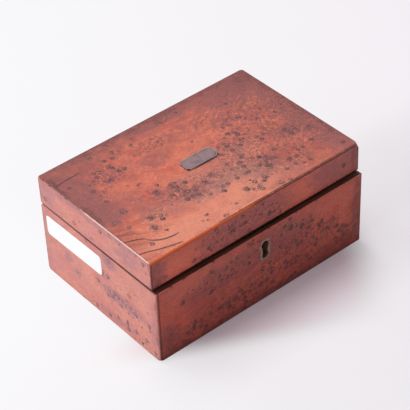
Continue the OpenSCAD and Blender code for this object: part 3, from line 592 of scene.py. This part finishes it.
veneer(
    "lid",
    "top",
    1,
    (BOX_W, LID_D),
    bright=TOP_BRIGHT,
    mauve=TOP_MAUVE,
    dark=TOP_DARK,
    eyes=TOP_EYES,
    marks=TOP_MARKS,
    cracks=TOP_CRACKS,
    tones=dict(
        orange=(216, 117, 88),
        brown=(176, 86, 73),
        mauve=(142, 80, 78),
        deep=(96, 48, 47),
        eye=(48, 25, 27),
        halo=(97, 58, 61),
        red=(196, 82, 62),
        pale=(238, 186, 160),
        curl=(224, 122, 92),
    ),
    spec=0.36,
    rough=0.38,
    coat=0.05,
    # the pale line along the left edge is wear with a painted highlight; the thin pale line 2.8 mm in from the
    # front is a painted highlight
    edge_wear_and_shading=[
        (0, 0, -9, 80, (228, 190, 180), 0.9, 0.6, 0.34),
        (0, 0, 70, 140, (190, 124, 116), 0.7, 0.5, 0.47),
        (0, 0.9, -9, 140, (90, 52, 52), 0.7, 0.3, 0.5),
        (1, 2.8, -9, 130, (236, 150, 108), 0.3, 1.4, 0.45),
        (1, 0, -9, 105, (192, 80, 28), 1.0, 2.3, 0),
        (1, 1.7, 64, 210, (84, 30, 18), 0.9, 0.6, 0.3),
        (1, 0, 95, 210, (104, 38, 24), 0.95, 1.3, 0),
    ],
    pip=0.8,
    sharp=0.85,
    fine=TOP_FINE,
    streaks=[(22, 33, 22, 17, -28), (150, 98, 30, 12, 35)],
    # painted sheen: a paler band over the front of the top
    sheen_and_pale_patches=[
        (70, 13, 56, 10, 0.66), (92, 26, 30, 9, 0.6), (104, 36, 20, 9, 0.5), (110, 52, 34, 10, 0.4),
        (46, 30, 26, 12, 0.42), (136, 12, 16, 10, 0.4),
    ],
    shade=[
        (14, 124, 24, 13, 0.52), (120, 129, 60, 7, 0.42), (186, 124, 24, 13, 0.52),
        (195, 66, 9, 50, 0.42), (90, 98, 12, 9, 0.45), (9, 92, 12, 30, 0.42), (5, 44, 8, 30, 0.36),
        (170, 11, 11, 10, 0.4), (134, 122, 12, 10, 0.4), (150, 33, 10, 9, 0.4), (172, 55, 24, 9, 0.38),
        (54, 124, 46, 8, 0.42),
    ],
    # nicks: the first three are painted shadow, along the front of the name plate and in its two lower
    # notches; the rest are small losses along the front edge
    nicks_and_shadows=[
        (100.4, 60.5, 14.6, 0.8), (86.2, 62, 1.3, 1.3), (114.6, 62, 1.3, 1.3), (73, 1.2, 2.2, 0.8),
        (127, 1.4, 2.6, 0.9), (138, 1.2, 1.6, 0.7), (106, 0.8, 1.2, 0.5), (56, 0.6, 1.6, 0.5),
    ],
)

FRONT_EYES = [
    (96, 16, 74, 14, 0.6), (90, 58, 14, 7, 0.6), (124, 56, 10, 8, 0.7), (54, 49, 12, 12, 0.65),
    (76, 46, 16, 9, 0.45), (146, 46, 12, 9, 0.7), (160, 34, 16, 10, 0.75), (181, 20, 8, 9, 0.8),
    (32, 13, 9, 6, 0.8), (66, 18, 14, 8, 0.7), (130, 28, 26, 12, 0.55),
]
FRONT_MARKS = [
    (51, 57.5, 2.4), (23, 44.7, 2.8), (51, 40.4, 3), (46, 49.7, 1.5), (69, 55.4, 1.9),
    (88.6, 61.1, 2.4), (86, 50.4, 1.8), (116, 64.4, 1.8), (126.7, 55.4, 3.6), (138.9, 50.4, 2.8),
    (147.4, 54, 2), (157.4, 41.1, 3.6), (170.3, 38.3, 2.6), (181.7, 25, 2.8), (182, 16.8, 3.6),
    (58.9, 18.3, 3.2), (31.7, 14, 2.8), (22.4, 6.8, 2.6), (72.4, 16.8, 2.8), (98.9, 30.4, 2.4),
    (98, 16.8, 2.8), (121.7, 24, 2.4), (165.3, 31, 2.4), (17.4, 26, 1.3),
]
FRONT_TONES = dict(
    orange=(204, 92, 70),
    brown=(174, 72, 58),
    mauve=(137, 66, 63),
    deep=(92, 38, 32),
    halo=(92, 50, 50),
    eye=(32, 10, 8),
    red=(196, 66, 46),
    pale=(176, 112, 102),
    curl=(222, 88, 54),
)
LID_FRONT_TONES = dict(
    orange=(230, 112, 86),
    brown=(204, 94, 78),
    mauve=(162, 86, 84),
    deep=(104, 46, 40),
    halo=(102, 58, 58),
    eye=(32, 10, 8),
    red=(214, 84, 64),
    pale=(196, 132, 120),
    curl=(224, 102, 74),
)
veneer(
    "base",
    "front",
    2,
    (BOX_W, BASE_H),
    bright=[
        (15, 45, 10, 10, 0.8), (22, 22, 8, 10, 0.7), (176, 56, 26, 11, 0.9), (30, 61, 30, 5, 0.9),
        (80, 20, 50, 10, 0.6),
    ],
    mauve=[(70, 46, 42, 10, 0.7), (122, 48, 20, 12, 0.8), (104, 34, 30, 8, 0.5), (8, 16, 9, 14, 0.8)],
    # the dark ellipses along the bottom are painted shade near the floor
    dark=[(100, -2, 120, 8, 0.8), (110, 14, 110, 26, 0.42), (170, 2, 40, 14, 0.6), (196, 30, 6, 36, 0.6)],
    eyes=FRONT_EYES,
    marks=FRONT_MARKS,
    tones=FRONT_TONES,
    spec=0.3,
    rough=0.46,
    # the dark line at the foot (v 0) is painted shade near the floor
    edge_wear_and_shading=[
        (1, 66, -9, 210, (206, 118, 106), 0.8, 0.6, 0.42),
        (1, 0, -9, 210, (60, 26, 20), 0.8, 0.9, 0),
        (0, 1.7, -9, 80, (66, 28, 26), 0.75, 0.7, 0),
        (0, 0, -9, 80, (196, 128, 114), 0.5, 0.5, 0.4),
        (0, 200, -9, 80, (66, 28, 26), 0.7, 0.9, 0),
    ],
    spacing=5.2,
    pip=1.5,
    slim=1.7,
    grit=2.6,
    faint=0.7,
    fine=[(80, 16, 66, 12, 0.55), (140, 34, 30, 16, 0.6), (60, 50, 26, 12, 0.5), (110, 54, 24, 10, 0.5)],
    sheen_and_pale_patches=[(44, 58, 38, 8, 0.5), (134, 57, 30, 8, 0.45)],
    # darker towards the bottom: painted shade near the floor
    shade=[(112, 10, 84, 13, 0.34)],
    nicks_and_shadows=[(94, 52, 0.5, 1.6), (96, 44, 0.6, 0.9), (95.5, 48, 0.4, 0.7), (101, 58.5, 1.2, 0.5)],
)
veneer(
    "lid",
    "front",
    3,
    (BOX_W, LID_H),
    bright=[(28, 10, 22, 8, 0.8), (142, 12, 22, 9, 0.7), (60, 5, 12, 4, 0.4)],
    mauve=[(88, 12, 38, 14, 0.8), (182, 14, 26, 14, 0.9), (3, 12, 9, 14, 0.8)],
    dark=[(3, 12, 6, 16, 0.5), (197, 12, 5, 18, 0.5)],
    eyes=[(82, 13, 32, 10, 0.5), (70, 15, 10, 7, 0.7), (116, 7, 9, 6, 0.75)],
    marks=[
        (38.9, 5.1, 2.8), (52.4, 8.7, 2.3), (61, 18.7, 1.8), (73.9, 15.9, 2.8), (84.6, 19.4, 2.2),
        (81.7, 12.3, 1.5), (101.7, 11.6, 1.9), (103.9, 20.1, 1.8), (114.6, 7.3, 2.2), (118.9, 8.7, 1.8),
        (90.3, 3, 2.2), (120.3, 3.4, 2.2), (48.9, 1.6, 1.8),
    ],
    tones=LID_FRONT_TONES,
    spec=0.3,
    rough=0.46,
    # the dark line along the lower edge (v 0) is painted shade over the gap under the lid
    edge_wear_and_shading=[
        (1, 24.5, -9, 105, (190, 78, 26), 1.0, 2.3, 0),
        (1, 24.5, 95, 210, (104, 38, 24), 0.95, 1.4, 0),
        (1, 0, -9, 210, (46, 18, 14), 0.9, 1.1, 0),
        (0, 0, -9, 40, (84, 36, 30), 0.7, 1.0, 0),
        (0, 200, -9, 40, (66, 28, 26), 0.7, 0.9, 0),
    ],
    spacing=5.2,
    pip=1.4,
    slim=1.7,
    grit=2.6,
    faint=0.7,
    fine=[(86, 12, 36, 12, 0.6)],
    nicks_and_shadows=[(46, 1.2, 2.2, 0.7), (92, 0.9, 2.4, 0.6)],
)

# paler, less saturated tones for the two left faces: painted light, the left side lighter and sheened because
# the light falls from the left
LIT_LEFT_TONES = dict(
    orange=(220, 143, 121),
    brown=(203, 125, 119),
    mauve=(170, 113, 119),
    deep=(126, 72, 70),
    halo=(140, 92, 98),
    eye=(62, 30, 30),
    red=(210, 113, 101),
    pale=(230, 192, 184),
    curl=(220, 150, 130),
)
veneer(
    "base",
    "left",
    4,
    (BOX_D, BASE_H),
    bright=[(105, 46, 26, 14, 0.8), (30, 6, 22, 5, 0.7), (60, 20, 30, 10, 0.4)],
    mauve=[
        (2, 30, 6, 30, 0.5), (82, 61, 6, 6, 1.0), (95, 31, 22, 5, 0.8), (30, 31, 5, 4, 0.7),
        (40, 22, 4, 3, 0.8), (134, 22, 5, 34, 0.6), (88, 8, 14, 5, 0.6),
    ],
    dark=[(137, 30, 2, 40, 0.6)],
    eyes=[
        (95, 31, 22, 6, 0.7), (112, 9, 26, 8, 0.35), (66, 6, 14, 4, 0.5), (78, 45, 8, 5, 0.5),
        (110, 50, 16, 8, 0.3),
    ],
    marks=[
        (102, 24, 1.0), (117.5, 21, 1.1), (127, 24, 1.0), (100, 14, 1.8), (58, 6, 1.1), (117, 4.5, 1.6),
        (64, 33, 1.0), (74, 45, 1.2), (82, 61, 3), (40, 22.5, 1.6),
    ],
    tones=LIT_LEFT_TONES,
    spec=0.5,
    rough=0.42,
    scatter=0.05,
    fine=[(95, 31, 24, 7, 0.6), (112, 9, 26, 8, 0.4)],
    pip=0.8,
    nicks_and_shadows=[
        (102, 24, 0.7, 0.6), (117.5, 21.5, 0.8, 1.0), (127, 24, 0.6, 1.1), (100, 14, 1.1, 1.3),
        (117, 4.8, 1.3, 1.2), (58, 6, 0.6, 0.9), (73.5, 44.5, 1.1, 0.5),
    ],
)
veneer(
    "lid",
    "left",
    5,
    (LID_D, LID_H),
    bright=[(60, 12, 40, 7, 0.5)],
    mauve=[(8, 14, 10, 10, 0.6), (105, 12, 14, 7, 0.6), (70, 22, 60, 3, 0.7)],
    dark=[(132, 12, 1.4, 20, 0.7)],
    eyes=[(10, 8, 5, 4, 0.5), (100, 8, 8, 5, 0.4)],
    marks=[(62, 3.6, 1.3), (8, 9, 1.2), (127, 12.5, 1.4)],
    cracks=[([(96.5, 19), (101, 24)], 0.3), ([(115, 20.5), (119, 24)], 0.25)],
    tones=LIT_LEFT_TONES,
    spec=0.5,
    rough=0.42,
    scatter=0.06,
    pip=0.7,
    # the pale line along the top edge is wear with a painted highlight
    edge_wear_and_shading=[(1, 24.5, -9, 140, (212, 170, 166), 0.8, 0.6, 0.44)],
)
veneer(
    "base",
    "right",
    6,
    (BOX_D, BASE_H),
    bright=[(60, 40, 40, 12, 0.5)],
    mauve=[(110, 50, 20, 12, 0.6)],
    # the dark strip along the bottom is painted shade near the floor
    dark=[(70, 0, 80, 3, 0.6)],
    eyes=[(40, 30, 30, 16, 0.6), (95, 20, 28, 12, 0.6), (70, 52, 40, 8, 0.4)],
)
veneer(
    "lid",
    "right",
    7,
    (LID_D, LID_H),
    bright=[(30, 12, 22, 8, 0.5)],
    mauve=[(100, 12, 30, 8, 0.6)],
    eyes=[(60, 12, 40, 9, 0.5)],
)
veneer(
    "base",
    "back",
    8,
    (BOX_W, BASE_H),
    bright=[(100, 40, 60, 14, 0.5)],
    mauve=[(40, 50, 26, 10, 0.6)],
    # the dark strip along the bottom is painted shade near the floor
    dark=[(100, 0, 110, 3, 0.6)],
    eyes=[(60, 30, 40, 18, 0.55), (140, 22, 36, 14, 0.6), (150, 52, 24, 8, 0.5)],
)
veneer(
    "lid",
    "back",
    9,
    (BOX_W, LID_H),
    bright=[(140, 12, 30, 8, 0.5)],
    mauve=[(60, 12, 30, 8, 0.5)],
    eyes=[(70, 12, 36, 9, 0.5), (150, 12, 20, 8, 0.4)],
)

# ---------------------------------------------------------------- plain woods


def plank(name, along, light, deep, seed, rough=0.55, spec=0.35, ring=5.0):
    """Straight-grained wood; along is the axis that the grain runs along."""
    k = Look(name, rough, 0, spec)
    mm = k.vec("ADD", k.millimetres(), (seed * 31.0, seed * 17.0, seed * 7.0))
    squeeze = [1.0, 1.0, 1.0]
    squeeze[along] = 0.06
    p = k.vec("MULTIPLY", k.warp(mm, 60, 3), tuple(squeeze))
    rings = k.noise(p, ring, 3, 0.55, 0.4)
    fibre = k.noise(p, 0.45, 2, 0.6)
    pores = k.step(k.noise(p, 0.7, 1, 0.5), 0.66, 0.74)
    colour = k.mix(k.step(rings, 0.3, 0.7), rgb(*deep), rgb(*light))
    colour = k.mix(k.step(fibre, 0.45, 0.75, 0, 0.45), colour, rgb(*deep))
    colour = k.mix(k.mul(pores, 0.6), colour, rgb(*tinted(deep, 0.55)))
    grime = k.step(k.noise(mm, 26, 4, 0.6), 0.5, 0.8, 0, 0.35)
    colour = k.mix(grime, colour, rgb(*tinted(deep, 0.7)))
    shine = k.step(fibre, 0.3, 0.7, rough - 0.07, rough + 0.1)
    return k.finish(colour, shine, k.bump(k.add(fibre, pores), WOOD_RELIEF, 0.7))


def grain_axis(node):
    """1, along Y, for the pieces at the box's sides; 0, along X, for the others."""
    return 1 if "_left_" in node or "_right_" in node else 0


SIDES = ("front", "back", "left", "right")
BOARDS = [f"base_{side}_board" for side in (*SIDES, "bottom")]
BOARDS += [f"lid_{side}_board" for side in (*SIDES, "top")]
for seed, node in enumerate(BOARDS, 1):
    dress(node, plank("mahogany_" + node, grain_axis(node), (132, 78, 52), (92, 48, 32), seed))
RIMS = [f"{part}_{side}_rim" for part in ("base", "lid") for side in SIDES]
for seed, node in enumerate(RIMS, 20):
    # the base's front rim, which shows with the lid down, gets lighter tones: painted light in the lid's
    # shadow
    lit_front_rim = node == "base_front_rim"
    light, deep = ((100, 57, 44), (56, 31, 24)) if lit_front_rim else ((86, 49, 38), (50, 27, 21))
    dress(node, plank("facing_" + node, grain_axis(node), light, deep, seed, rough=0.46, spec=0.25, ring=2.5))

# ---------------------------------------------------------------- papers


def paper(name, base, tint, stain, seed, spots=True):
    """Paper between two clouded tones, with a stained fibre and, on old paper, a few foxed spots."""
    k = Look(name, 0.85, 0, 0.25)
    mm = k.vec("ADD", k.millimetres(), (seed * 23.0, seed * 11.0, seed * 5.0))
    cloud = k.noise(mm, 34, 4, 0.6)
    fibre = k.noise(k.warp(mm, 3, 1), 0.5, 3, 0.7)
    colour = k.mix(k.step(cloud, 0.35, 0.7), rgb(*base), rgb(*tint))
    colour = k.mix(k.step(fibre, 0.45, 0.75, 0, 0.18), colour, rgb(*stain))
    if spots:
        c = k.split(k.warp(mm, 3, 0.6))
        d, r = k.cells(k.join(k.add(c[0], k.mul(c[2], 0.83)), k.add(c[1], k.mul(c[2], 0.57))), 9)
        spot = k.mul(k.step(d, k.add(k.mul(r[1], 1.1), 0.4), 0.1), k.math("LESS_THAN", r[0], 0.35))
        colour = k.mix(k.mul(spot, 0.5), colour, rgb(*stain))
    shine = k.step(fibre, 0.3, 0.7, 0.78, 0.92)
    return k.finish(colour, shine, k.bump(k.add(fibre, k.mul(cloud, 2.0)), PAPER_RELIEF, 0.6))


LININGS = ("base_wall_lining", "base_floor_lining", "lid_wall_lining", "lid_top_lining")
for seed, node in enumerate(LININGS, 1):
    dress(node, paper("lining_" + node, (206, 178, 146), (186, 154, 122), (122, 82, 56), seed))
label = paper("label_paper", (248, 252, 255), (240, 245, 249), (210, 210, 214), 9, spots=False)
dress("paper_label", label)

# ---------------------------------------------------------------- metals


def metal(name, light, dark, seed, rough=0.38, metallic=0.9, crust=0.5, scratch=1.0, patches=3.4):
    """Aged metal: patches of tarnish over a brighter ground, with fine scratches."""
    k = Look(name, rough, metallic, 0.5)
    mm = k.vec("ADD", k.millimetres(), (seed * 13.0, seed * 29.0, seed * 3.0))
    patch = k.noise(k.warp(mm, 4, 1.2), patches, 5, 0.65)
    fine = k.noise(mm, 0.35, 3, 0.7)
    lines = k.noise(k.vec("MULTIPLY", mm, (0.12, 1.0, 1.0)), 0.18, 2, 0.6)
    tarnish = k.step(k.add(k.mul(patch, 0.75), k.mul(fine, 0.25)), 0.62 - 0.3 * crust, 0.78 - 0.2 * crust)
    colour = k.mix(tarnish, rgb(*light), rgb(*dark))
    colour = k.mix(k.step(lines, 0.6, 0.75, 0, 0.25 * scratch), colour, rgb(*tinted(light, 1.25)))
    shine = k.add(k.mul(tarnish, 0.2), k.step(fine, 0.3, 0.7, rough - 0.06, rough + 0.08))
    height = k.add(k.add(k.mul(lines, 0.5 * scratch), fine), k.mul(tarnish, -0.8))
    return k.finish(colour, shine, k.bump(height, METAL_RELIEF, 0.7))


NOTCH_R = 2.1  # radius of the notches at the name plate's corners, in mm


def plate_metal():
    """The name plate's metal: grey purple, with a painted highlight along its border, a dark line inside it,
    and sides darkened with grime and painted shade.
    """
    mat = metal(
        "plate_metal",
        (134, 110, 112),
        (104, 84, 88),
        1,
        rough=0.5,
        metallic=0.4,
        crust=0.45,
        scratch=1.3,
        patches=7.0,
    )
    k = Look.on(mat)
    x0, y0, _ = (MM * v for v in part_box("name_plate")[0])
    x1, y1, _ = (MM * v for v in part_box("name_plate")[1])
    mm = k.millimetres()
    s = k.split(mm)
    side_x = k.sub((x1 - x0) / 2, k.math("ABSOLUTE", k.sub(s[0], (x0 + x1) / 2)))
    side_y = k.sub((y1 - y0) / 2, k.math("ABSOLUTE", k.sub(s[1], (y0 + y1) / 2)))
    corner = k.sub(k.vec("LENGTH", k.join(side_x, side_y)), NOTCH_R)
    outline = k.math("MINIMUM", k.math("MINIMUM", side_x, side_y), corner)
    inset = k.add(outline, k.mul(k.sub(k.noise(mm, 1.2, 3, 0.6), 0.5), 0.3))
    # painted highlight: a pale band just inside the outline, standing in for a lit bevel
    colour = k.mix(k.mul(k.step(inset, 0.6, 0.35), 0.6), k.base(), rgb(184, 164, 164))
    line = k.step(k.math("ABSOLUTE", k.sub(inset, 0.95)), 0.4, 0.1, 0.0, 0.7)
    colour = k.mix(line, colour, rgb(74, 58, 60))
    # the plate's sides darkened: grime and painted shade
    colour = k.mix(k.step(outline, 0.08, 0.03), colour, rgb(40, 30, 32))
    k.feed(k.bsdf.inputs["Base Color"], colour)
    return mat


dress("name_plate", plate_metal())
escutcheon = metal("escutcheon_metal", (148, 122, 112), (86, 66, 60), 2, rough=0.45, metallic=0.6, crust=0.6)
dress("escutcheon", escutcheon)
IRON = ("bottom_brads", "lock_spring", "lock_key_pin", "left_hinge_pin", "right_hinge_pin")
for seed, node in enumerate(IRON, 10):
    dress(node, metal("iron_" + node, (104, 98, 86), (58, 44, 34), seed, rough=0.42, metallic=0.85, crust=0.5))
BRASS = (
    "lock_back_plate",
    "lock_cap",
    "lock_screws",
    "lock_bolt",
    "left_hinge_base_leaf",
    "right_hinge_base_leaf",
    "base_hinge_screws",
    "link_plate",
    "link_plate_screws",
    "left_hinge_lid_leaf",
    "right_hinge_lid_leaf",
    "lid_hinge_screws",
)
DARK_BRASS = ("lock_back_plate", "lock_cap", "lock_bolt", "link_plate", "link_plate_screws")
for seed, node in enumerate(BRASS, 30):
    darker = node in DARK_BRASS
    light, dark = ((96, 76, 50), (44, 32, 24)) if darker else ((166, 130, 74), (96, 70, 42))
    crust = 0.6 if darker else 0.45
    dress(node, metal("brass_" + node, light, dark, seed, rough=0.4, metallic=0.85, crust=crust))

# ---------------------------------------------------------------- floor

REACH = 4  # half the sheet's width, in metres
WHITE_LEFT, WHITE_RIGHT = (0.955, 0.95, 0.97, 1), (0.92, 0.87, 0.92, 1)
SHADOW_TINT = (0.875, 0.8, 0.855, 1)
mesh = bpy.data.meshes.new("floor")
corners = [(-REACH, -REACH, 0), (REACH, -REACH, 0), (REACH, REACH, 0), (-REACH, REACH, 0)]
mesh.from_pydata(corners, [], [(0, 1, 2, 3)])
floor = bpy.data.objects.new("floor", mesh)
scene.collection.objects.link(floor)
k = Look("floor_paper", 0.9, 0, 0.1)
mm = k.millimetres()
cloud = k.noise(mm, 180, 3, 0.5)
tone = k.mix(cloud, (0.81, 0.81, 0.825, 1), (0.83, 0.83, 0.845, 1))
mat = k.finish(tone, None, k.bump(k.noise(mm, 3, 3, 0.6), FLOOR_RELIEF, 0.5))
# to the camera the sheet is lifted towards a near white that fades to the right; its shadow stays
seen = k.node("ShaderNodeEmission")
side = k.step(k.vec("DOT_PRODUCT", mm, (0.78, -0.62, 0.0)), -280.0, 420.0)
k.feed(seen.inputs["Color"], k.mix(side, WHITE_LEFT, WHITE_RIGHT))
path = k.node("ShaderNodeLightPath")
blend = k.node("ShaderNodeMixShader")
x, y, _ = k.split(mm)
# the lift is less in the shadow in front of the box, whose ends close in further out
ahead = k.add(y, 72.0)
left_end = k.step(k.add(x, k.mul(ahead, 1.8)), -102.0, -52.0)
right_end = k.step(k.sub(x, k.mul(ahead, 0.6)), 118.0, 72.0)
near_and_far = k.mul(k.step(y, -185.0, -85.0, 0.0, 0.56), k.step(y, -20.0, -60.0))
fore = k.mul(k.mul(left_end, right_end), near_and_far)
# it is less at the right of the box too, and more at its left
beside = k.mul(k.step(x, 102.0, 140.0, 0.0, 0.2), k.step(y, 45.0, 0.0))
beside = k.sub(beside, k.step(x, -60.0, -100.0, 0.0, 0.14))
lift = k.sub(k.sub(k.step(y, -140.0, 60.0, 0.5, 0.85), beside), fore)
k.feed(blend.inputs[0], k.mul(path.outputs["Is Camera Ray"], lift))
tint = k.mix(k.step(fore, 0.3, 0.56), k.base(), SHADOW_TINT)
k.feed(k.bsdf.inputs["Base Color"], tint)
k.feed(blend.inputs[1], k.bsdf.outputs[0])
k.feed(blend.inputs[2], seen.outputs[0])
k.feed(k.tree.nodes["Material Output"].inputs["Surface"], blend.outputs[0])
mesh.materials.append(mat)
